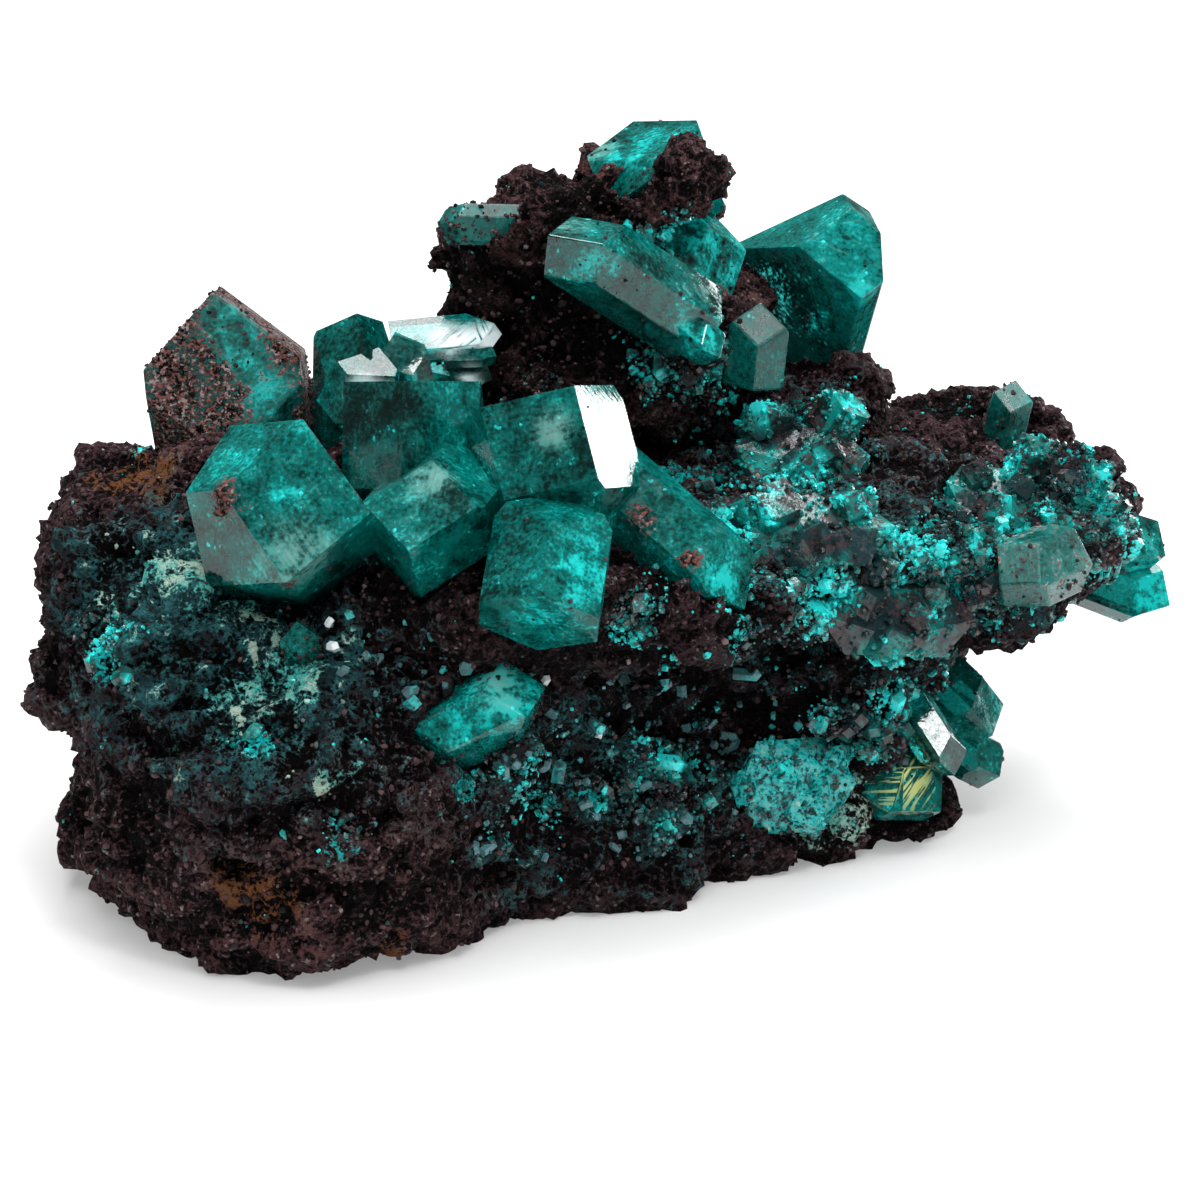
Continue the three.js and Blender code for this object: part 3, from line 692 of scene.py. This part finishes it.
finePiece = growDruse("druse_fine", np.vstack([onRock, onNode]), np.vstack([rockUp, nodeUp]),
                      druse["fineWidth"], druse["fineSunk"], dice)
onRock, rockUp = scatterOn(rockPoints, rockTris, crystalWeight ** 2, druse["coarse"], dice)
coarsePiece = growDruse("druse_coarse", onRock, rockUp, druse["coarseWidth"], druse["coarseSunk"], dice)
onRock, rockUp = scatterOn(rockPoints, rockTris, crystalWeight, druse["sugar"], dice)
sugarPiece = growDruse("druse_sugar", onRock, rockUp, druse["sugarWidth"], druse["sugarSunk"], dice)
flakeWeight = smoothStep(patches(rockPoints, flakeSpots) + 0.9 * broken, 0.3, 0.9)
onRock, rockUp = scatterOn(rockPoints, rockTris, flakeWeight, druse["flakes"], dice)
flakePiece = growDruse("wall_flakes", onRock, rockUp, druse["flakeWidth"], druse["flakeSunk"], dice,
                       druse["flakeTint"])
print("druse:", sum(druse[key] for key in ("flakes", "fine", "coarse", "sugar")), "crystals")


def druseFinish(name, mint=0.0, bumpy=0.0):
    b = Board(name)
    where = b.where()
    fog = b.noise(where, druse["fogWave"], 2, 0.6)
    patch = b.noise(where, druse["patchWave"], 1, 0.55)
    grit = b.noise(where, druse["gritWave"], 2, 0.6)
    facet = b.cellMark(where, druse["facetWave"])
    share = b.mark("tint") * 0.3 + facet * 0.25 + (patch - 0.5) * 2.2 + (fog - 0.5) * 0.5
    base = b.mix(b.ramp(share, -0.1, 0.3), rock["slate"], gem["mid"])
    base = b.mix(b.ramp(share, 0.25, 0.55), base, druse["bright"])
    # painted glints on some facets of the small crystals
    base = b.mix(b.ramp(facet, 0.86, 0.9) * b.ramp(share, 0.25, 0.5) * 0.8, base, gem["glint"])
    base = b.mix(b.ramp(fog + (grit - 0.5) * 0.9, 0.47, 0.6) * 0.9, base, b.mix(facet, rock["dark"], rock["mid"]))
    base = b.mix(b.ramp(b.mark("tint"), 1.0, 1.5) * 0.9, base, druse["flake"])
    if mint:
        tuft = b.noise(where, druse["tuftWave"], 5, 0.7) + (grit - 0.5) * 0.5
        moss = b.mix(b.ramp(tuft, 0.38, 0.52), rock["slate"], rock["teal"])
        moss = b.mix(b.ramp(tuft, 0.48, 0.64), moss, rock["mint"])
        base = b.mix(mint, base, b.mix(b.ramp(tuft, 0.64, 0.74), moss, rock["cream"]))
    height = facet * bumpy + grit * 0.3 if bumpy else grit * 0.5
    return b.done(b.surface({
        "Base Color": base, "Roughness": 0.14 + b.ramp(grit, 0.4, 0.7) * 0.4, "Specular IOR Level": 0.4,
        "IOR": gem["ior"], "Normal": b.bump(height, druse["bump"])}))


druseCoat = druseFinish("druse")
crustCoat = druseFinish("druseCrust", bumpy=0.5)
mintCoat = druseFinish("druseMint", mint=0.9, bumpy=0.5)
for piece in (finePiece, coarsePiece, sugarPiece, flakePiece):
    wear(piece, druseCoat)
for node in druse["nodes"]:
    paint(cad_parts[node], mintCoat if node == "druse_low_right" else crustCoat)

# glints: short pale prisms lying in the hollows under the front crystals; their near-white colour is a painted glint
glint = {
    "width": (0.3, 0.5), "length": 1.3, "sunk": 0.4, "axis": (0.0, -0.6, 0.8), "lean": 0.5, "wave": 0.3,
    "dull": (0.6, 0.72, 0.72), "pale": (0.9, 0.92, 0.92),
    "places": [(-12.0, -11.7, 14.4), (-11.8, -12.3, 13.5), (-11.2, -12.5, 12.7),
               (-2.9, -9.8, 11.0), (-0.6, -8.6, 8.0)],
}
glintPlace = np.array(glint["places"])
glintAxis = unit(glint["axis"] + glint["lean"] * dice.normal(size=glintPlace.shape))
glintWidth = between(glint["width"], dice.random(len(glintPlace)))
glintLength = glintWidth * glint["length"]
glintPoints, glintFaces = prisms(glintPlace, glintAxis, glintWidth, glintLength, glint["sunk"], dice)
glintPiece = makePiece("glints", glintPoints, glintFaces)
b = Board("glint")
glintColor = b.mix(b.noise(b.where(), glint["wave"]), glint["dull"], glint["pale"])
wear(glintPiece, b.done(b.surface({"Base Color": glintColor, "Roughness": 0.2})))
print("glints:", len(glintPlace))

# grains: small twenty-sided crumbs of rock, each jittered, on the rock and as dirt on the crystals
grain = {
    "count": 9600, "size": (0.05, 0.16), "raised": 0.3, "lowest": 0.02, "clearOfFloor": 0.4, "mintShare": 0.4,
    "dirtTries": 1500, "dirtSize": (0.04, 0.13), "dirtWave": 2.2, "dirtNearRock": 0.35, "nearCell": 0.6,
    "dirtKept": 0.6, "dirtElsewhere": 0.04, "wave": 0.2, "bump": 0.05,
    "dirtShare": {
        "coated": 0.7, "stained": 0.5, "top": 0.25, "front": 0.08, "pinnacle": 0.15, "cloudy": 0.1, "grey": 0.2},
}


def ballTemplate():
    g = (1 + 5 ** 0.5) / 2
    points = np.array([(-1, g, 0), (1, g, 0), (-1, -g, 0), (1, -g, 0), (0, -1, g), (0, 1, g),
                       (0, -1, -g), (0, 1, -g), (g, 0, -1), (g, 0, 1), (-g, 0, -1), (-g, 0, 1)])
    faces = np.array([(0, 11, 5), (0, 5, 1), (0, 1, 7), (0, 7, 10), (0, 10, 11), (1, 5, 9), (5, 11, 4),
                      (11, 10, 2), (10, 7, 6), (7, 1, 8), (3, 9, 4), (3, 4, 2), (3, 2, 6), (3, 6, 8),
                      (3, 8, 9), (4, 9, 5), (2, 4, 11), (6, 2, 10), (8, 6, 7), (9, 8, 1)])
    return unit(points), faces


def crumbs(name, place, out, pair, mint, dice):
    points, faces = ballTemplate()
    count = len(place)
    size = between(pair, dice.random(count) ** 2)
    stretch = 0.7 + 0.6 * dice.random((count, 1, 3))
    jitter = 0.75 + 0.5 * dice.random((count, len(points), 1))
    middle = place + out * (size * grain["raised"])[:, None]
    made = (points[None] * stretch * jitter * size[:, None, None] + middle[:, None, :]).reshape(-1, 3)
    made[:, 2] = np.maximum(made[:, 2], grain["lowest"])
    return makePiece(name, made, copies(points, faces, place), False, {
        "tint": np.repeat(dice.random(count), len(points)), "mint": np.repeat(mint, len(points))})


def cellKeys(p, size):
    # one whole number for the cell that each point is in
    cell = np.floor(p / size).astype(np.int64) + 512
    return (cell[:, 0] * 1024 + cell[:, 1]) * 1024 + cell[:, 2]


grainWeight = (0.35 + brownMark * 0.8) * (1 - 0.9 * dustMark) * (rockPoints[:, 2] > grain["clearOfFloor"])
onRock, rockUp = scatterOn(rockPoints, rockTris, grainWeight, grain["count"], dice)
grainMint = smoothStep(patches(onRock, mintSpots) + 0.6 * swell(onRock, 1.2, seeds["grainMint"]), 0.35, 0.8)
grainMint = grainMint * (dice.random(grain["count"]) < grain["mintShare"])
grainPiece = crumbs("rock_grains", onRock, rockUp, grain["size"], grainMint, dice)

dirtPlace, dirtOut = [], []
rockKeys = cellKeys(rockPoints, grain["nearCell"])
for node, piece in gemPieces.items():
    points = pointsOf(piece.data)
    tris = trianglesOf(piece.data)
    spot, out = scatterOn(points, tris, np.ones(len(points)), grain["dirtTries"], dice)
    share = grain["dirtShare"].get(gemCoat[node], grain["dirtElsewhere"])
    share = share * smoothStep(layers(spot, grain["dirtWave"], seeds["dirt"], 3), -0.25, 0.35)
    share = share + grain["dirtNearRock"] * np.isin(cellKeys(spot, grain["nearCell"]), rockKeys)
    kept = dice.random(len(spot)) < share * grain["dirtKept"]
    dirtPlace.append(spot[kept])
    dirtOut.append(out[kept])
dirtPlace = np.vstack(dirtPlace)
noMint = np.zeros(len(dirtPlace))
dirtPiece = crumbs("crystal_dirt", dirtPlace, np.vstack(dirtOut), grain["dirtSize"], noMint, dice)


def grainFinish():
    b = Board("grains")
    tint = b.mark("tint")
    grit = b.noise(b.where(), grain["wave"], 2, 0.6)
    base = b.mix(b.ramp(tint, 0.1, 0.7), rock["dark"], rock["mid"])
    base = b.mix(b.ramp(tint, 0.75, 1.0) * 0.35, base, rock["brown"])
    base = b.mix(b.ramp(tint, 0.97, 1.0) * 0.6, base, rock["light"])
    base = b.mix(b.mark("mint") * 0.9, base, b.mix(tint, rock["mint"], rock["cream"]))
    base = b.mix(b.ramp(grit, 0.5, 0.8) * 0.5, base, rock["dark"])
    return b.done(b.surface({
        "Base Color": base, "Roughness": 0.8 - b.ramp(tint, 0.93, 0.98) * 0.5,
        "Normal": b.bump(grit, grain["bump"])}))


grainCoat = grainFinish()
for piece in (grainPiece, dirtPiece):
    wear(piece, grainCoat)
print("grains:", grain["count"] + len(dirtPlace))

# floor, light and camera
stage = {
    "floor": 3.0, "white": (0.7, 0.7, 0.7), "shade": (0.67, 0.67, 0.67), "shadeWave": 40, "glow": 0.25, "sky": 0.1,
    "lens": 133, "sensor": 36, "near": 0.005, "aim": (-0.00055, 0.00037, 0.011), "rise": 20, "away": 0.2,
}
corners = np.array([(-1, -1, 0), (1, -1, 0), (1, 1, 0), (-1, 1, 0)])
floor = makePiece("floor", corners * stage["floor"] / 2 / mm, np.array([[0, 1, 2, 3]]))
b = Board("floor")
paint(floor, b.done(b.surface({
    "Base Color": b.mix(b.noise(b.where(), stage["shadeWave"], 2), stage["white"], stage["shade"]), "Roughness": 0.9,
    "Emission Color": (1, 1, 1), "Emission Strength": stage["glow"]})))


def panel(name, at, aim, size, glow, tall=None, mirrored=True):
    # an area light of even brightness: its power is pi times area times glow; some are not seen in gloss
    light = bpy.data.lights.new(name, "AREA")
    light.shape = "RECTANGLE"
    light.size = size
    light.size_y = tall or size
    light.energy = math.pi * light.size * light.size_y * glow
    lamp = bpy.data.objects.new(name, light)
    lamp.location = at
    lamp.visible_glossy = mirrored
    lamp.rotation_euler = (Vector(aim) - Vector(at)).to_track_quat("-Z", "Y").to_euler()
    scene.collection.objects.link(lamp)


panel("softbox", (0, 0.22, 0.46), (0, 0, 0.01), 0.3, 7.5)
panel("topBox", (0, -0.1, 0.5), (0, 0, 0.01), 0.5, 3.0, mirrored=False)
panel("topCard", (0.08, -0.155, 0.315), (0.014, -0.003, 0.006), 0.06, 20.0)
panel("rightBox", (0.27, 0.06, 0.13), (0, 0, 0.012), 0.25, 1.6, mirrored=False)
panel("sideCard", (0.108, 0.1, 0.026), (0, -0.008, 0.02), 0.075, 13.0, tall=0.055)
panel("leftFill", (-0.3, -0.1, 0.2), (0, 0, 0.012), 0.25, 1.2, mirrored=False)
panel("frontFill", (0, -0.4, 0.3), (0, 0, 0.01), 0.35, 1.1, mirrored=False)
world = bpy.data.worlds.new("studio")
world.use_nodes = True
sky = world.node_tree.nodes["Background"]
sky.inputs["Color"].default_value = (1, 1, 1, 1)
sky.inputs["Strength"].default_value = stage["sky"]
scene.world = world
scene.view_settings.view_transform = "Standard"
scene.view_settings.look = "None"

lens = bpy.data.cameras.new("photo")
lens.lens = stage["lens"]
lens.sensor_width = stage["sensor"]
lens.clip_start = stage["near"]
camera = bpy.data.objects.new("photo", lens)
aim = Vector(stage["aim"])
rise = math.radians(stage["rise"])
camera.location = aim + Vector((0, -math.cos(rise), math.sin(rise))) * stage["away"]
camera.rotation_euler = (aim - camera.location).to_track_quat("-Z", "Y").to_euler()
scene.collection.objects.link(camera)
scene.camera = camera

print("scene ready")
